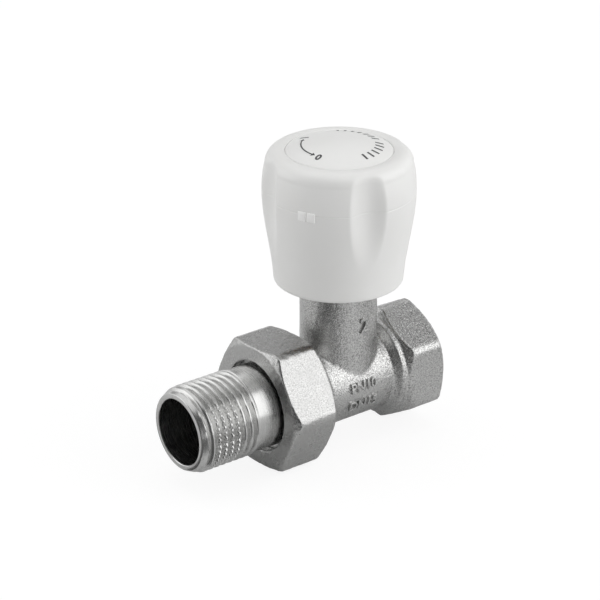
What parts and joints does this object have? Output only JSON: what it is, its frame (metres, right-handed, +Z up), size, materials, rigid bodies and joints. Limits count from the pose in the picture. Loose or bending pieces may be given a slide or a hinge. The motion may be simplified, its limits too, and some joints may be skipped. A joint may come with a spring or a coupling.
{
  "type": "radiator valve",
  "caption": "Straight radiator valve: nickel-plated body with union nut and threaded tail, female hexagon inlet, rising stem with seat disc and a white fluted handwheel.",
  "frame": {"origin": "centre of the female inlet's mouth, on the pipe axis", "axes": "+X out of the female inlet along the pipe axis, +Z up along the stem towards the handwheel, +Y to the side; the union tail points along -X"},
  "size_m": [0.0698, 0.0362, 0.0765],
  "materials": {
    "forged_nickel": "satin nickel plate on shot-blasted forged brass",
    "turned_nickel": "nickel plate on turned brass",
    "turned_brass": "bare turned brass",
    "zinc_steel": "zinc-plated steel",
    "white_abs": "moulded white ABS, fine satin",
    "white_cap": "moulded white ABS with a printed scale",
    "rubber_seal": "black EPDM",
    "fibre_gasket": "red fibre",
    "white_packing": "white packing"
  },
  "bodies": {
    "housing": {"valve_body": "forged_nickel", "bonnet": "turned_brass", "bonnet_gasket": "fibre_gasket", "packing_ring": "white_packing", "gland_washer": "turned_brass", "gland_nut": "turned_brass"},
    "seat_plug": {"valve_plug": "turned_brass", "plug_clip": "zinc_steel", "disc_seal": "rubber_seal", "disc_washer": "turned_brass", "disc_screw": "turned_brass"},
    "wheel_and_stem": {"spindle": "turned_brass", "stem_o_rings": "rubber_seal", "handwheel": "white_abs", "screw_washer": "zinc_steel", "handwheel_screw": "zinc_steel", "cap_disc": "white_cap"},
    "tail": {"union_tailpiece": "turned_nickel", "union_seal": "rubber_seal"},
    "nut": {"union_nut": "forged_nickel"}
  },
  "joints": [
    {"name": "plug_lift", "type": "slide", "parent": "housing", "child": "seat_plug", "axis": [0, 0, 1], "range_m": [0, 0.00375]},
    {"name": "handwheel_turn", "type": "hinge", "parent": "seat_plug", "child": "wheel_and_stem", "pos_m": [-0.023, 0, 0], "axis": [0, 0, 1], "range_deg": [0, 900]},
    {"name": "tail_draw", "type": "slide", "parent": "housing", "child": "tail", "axis": [-1, 0, 0], "range_m": [0, 0.0073]},
    {"name": "union_nut_turn", "type": "hinge", "parent": "tail", "child": "nut", "pos_m": [-0.041, 0, 0], "axis": [-1, 0, 0], "range_deg": [0, 1440]}
  ],
  "couplings": [
    {"joint": "plug_lift", "follows": "handwheel_turn", "m_per_rad": 0.00023873},
    {"joint": "tail_draw", "follows": "union_nut_turn", "m_per_rad": 0.00028871}
  ]
}
